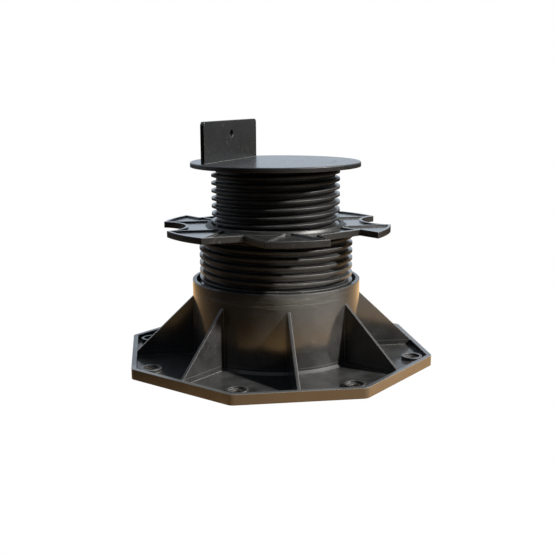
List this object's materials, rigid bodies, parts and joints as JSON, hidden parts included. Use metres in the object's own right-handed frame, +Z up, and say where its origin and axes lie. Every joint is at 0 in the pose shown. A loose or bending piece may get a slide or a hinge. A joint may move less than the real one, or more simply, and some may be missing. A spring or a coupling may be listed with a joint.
{
  "type": "adjustable deck pedestal",
  "caption": "Adjustable black plastic deck pedestal: octagonal screw-down base with a ribbed collar, threaded sleeve with a lobed hand flange, and a round head with an upright joist tab.",
  "frame": {"origin": "middle of the base's underside, on the ground", "axes": "+Z up along the screw axis; the octagon's flats face +X, -X, +Y and -Y"},
  "size_m": [0.2038, 0.2038, 0.1654],
  "materials": {
    "black_plastic": "satin moulded"
  },
  "bodies": {
    "base": {"base": "black_plastic"},
    "sleeve": {"adjusting_sleeve": "black_plastic"},
    "head": {"head": "black_plastic"}
  },
  "joints": [
    {"name": "sleeve_lift", "type": "slide", "parent": "base", "child": "sleeve", "axis": [0, 0, 1], "range_m": [-0.0335, 0.006]},
    {"name": "head_lift", "type": "slide", "parent": "sleeve", "child": "head", "axis": [0, 0, 1], "range_m": [-0.0385, 0.006]}
  ]
}
